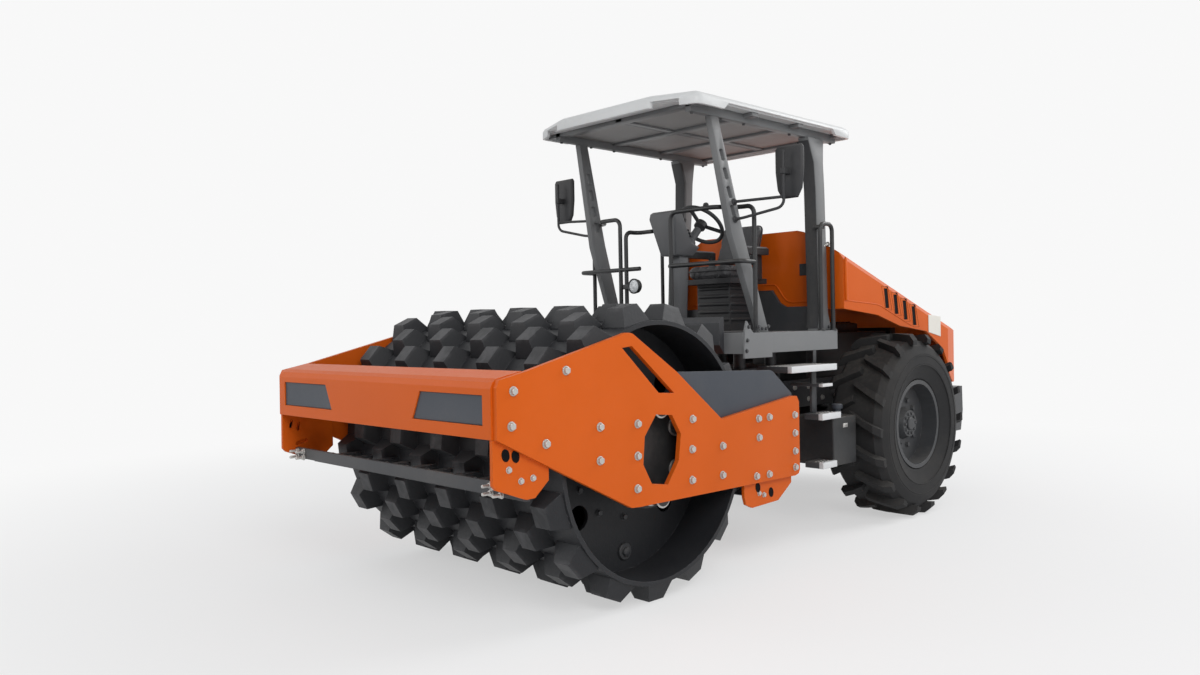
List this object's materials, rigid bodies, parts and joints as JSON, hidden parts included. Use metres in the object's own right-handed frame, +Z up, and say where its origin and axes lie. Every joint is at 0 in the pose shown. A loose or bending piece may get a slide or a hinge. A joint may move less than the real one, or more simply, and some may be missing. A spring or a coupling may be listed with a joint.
{
  "type": "single drum roller",
  "caption": "Articulated single drum soil roller with a padfoot drum, lugged rear tyres, open platform under a fixed roof and a tilting rear hood.",
  "frame": {"origin": "on the ground at the centre of the footprint box, halfway between the front beam and the rear of the hood", "axes": "+X forwards, +Y to the operator's left, +Z up"},
  "size_m": [5.79, 2.24, 3.04],
  "materials": {
    "orange_paint": "satin",
    "grey_paint": "satin",
    "dark_paint": "satin",
    "panel_grey": "satin",
    "black_paint": "satin",
    "drum_steel": "matt",
    "white_roof": "gloss",
    "tyre": "matt",
    "black_plastic": "matt",
    "seat_vinyl": "matt",
    "tread_plate": "satin",
    "rod_chrome": "gloss"
  },
  "bodies": {
    "rear_frame": {"rear_chassis": "dark_paint", "rear_axle": "black_paint", "engine_block": "black_paint", "rear_counterweight": "dark_paint", "platform_floor": "grey_paint", "platform_cowl": "dark_paint", "rear_bulkhead": "dark_paint", "front_post_left": "grey_paint", "front_post_right": "grey_paint", "rear_post_left": "grey_paint", "rear_post_right": "grey_paint", "canopy_roof": "white_roof", "canopy_frame": "dark_paint", "console": "black_plastic", "seat_base": "black_plastic", "seat_cushion": "seat_vinyl", "seat_back": "seat_vinyl", "handrails": "dark_paint", "mirror_left": "dark_paint", "mirror_right": "dark_paint", "entry_steps": "tread_plate", "side_boxes": "black_paint", "work_lamp": "black_paint"},
    "hood": {"hood_shell": "orange_paint", "hood_grille": "black_plastic"},
    "wheel_left": {"rim_left": "dark_paint", "tyre_left": "tyre"},
    "wheel_right": {"rim_right": "dark_paint", "tyre_right": "tyre"},
    "steering_wheel": {"steering_wheel": "black_plastic"},
    "yoke": {"yoke": "dark_paint"},
    "steer_cylinder_left": {"barrel_left": "black_paint"},
    "steer_cylinder_right": {"barrel_right": "black_paint"},
    "steer_rod_left": {"rod_left": "rod_chrome"},
    "steer_rod_right": {"rod_right": "rod_chrome"},
    "front_frame": {"side_plate_left": "orange_paint", "side_plate_right": "orange_paint", "side_covers": "panel_grey", "front_beam": "orange_paint", "rear_beam": "orange_paint", "drum_mount_left": "black_paint", "drum_mount_right": "black_paint", "scraper_front": "dark_paint", "scraper_rear": "dark_paint"},
    "drum": {"drum_shell": "drum_steel"}
  },
  "joints": [
    {"name": "steer", "type": "hinge", "parent": "rear_frame", "child": "yoke", "pos_m": [0.155, 0, 0.83], "axis": [0, 0, 1], "range_deg": [-35, 35]},
    {"name": "swing", "type": "hinge", "parent": "yoke", "child": "front_frame", "pos_m": [0.42, 0, 0.83], "axis": [1, 0, 0], "range_deg": [-10, 10]},
    {"name": "drum_spin", "type": "hinge", "parent": "front_frame", "child": "drum", "pos_m": [1.705, 0, 0.835], "axis": [0, 1, 0], "continuous": true},
    {"name": "wheel_left_spin", "type": "hinge", "parent": "rear_frame", "child": "wheel_left", "pos_m": [-1.395, 0.83, 0.72], "axis": [0, 1, 0], "continuous": true},
    {"name": "wheel_right_spin", "type": "hinge", "parent": "rear_frame", "child": "wheel_right", "pos_m": [-1.395, -0.83, 0.72], "axis": [0, 1, 0], "continuous": true},
    {"name": "steering_wheel_turn", "type": "hinge", "parent": "rear_frame", "child": "steering_wheel", "pos_m": [0.023, 0, 2.3], "axis": [-0.6921, 0, 0.7218], "continuous": true},
    {"name": "hood_open", "type": "hinge", "parent": "rear_frame", "child": "hood", "pos_m": [-2.869, 0, 0.96], "axis": [0, -1, 0], "range_deg": [0, 50]},
    {"name": "cylinder_left_swing", "type": "hinge", "parent": "rear_frame", "child": "steer_cylinder_left", "pos_m": [-0.445, 0.26, 0.83], "axis": [0, 0, 1], "range_deg": [-6, 6]},
    {"name": "cylinder_right_swing", "type": "hinge", "parent": "rear_frame", "child": "steer_cylinder_right", "pos_m": [-0.445, -0.26, 0.83], "axis": [0, 0, 1], "range_deg": [-6, 6]},
    {"name": "rod_left_slide", "type": "slide", "parent": "steer_cylinder_left", "child": "steer_rod_left", "axis": [0.9965, -0.083, 0], "range_m": [-0.126, 0.126]},
    {"name": "rod_right_slide", "type": "slide", "parent": "steer_cylinder_right", "child": "steer_rod_right", "axis": [0.9965, 0.083, 0], "range_m": [-0.126, 0.126]}
  ],
  "couplings": [
    {"joint": "cylinder_left_swing", "follows": "steer", "ratio": 0.14},
    {"joint": "cylinder_right_swing", "follows": "steer", "ratio": 0.14},
    {"joint": "rod_left_slide", "follows": "steer", "m_per_rad": -0.204},
    {"joint": "rod_right_slide", "follows": "steer", "m_per_rad": 0.204}
  ]
}
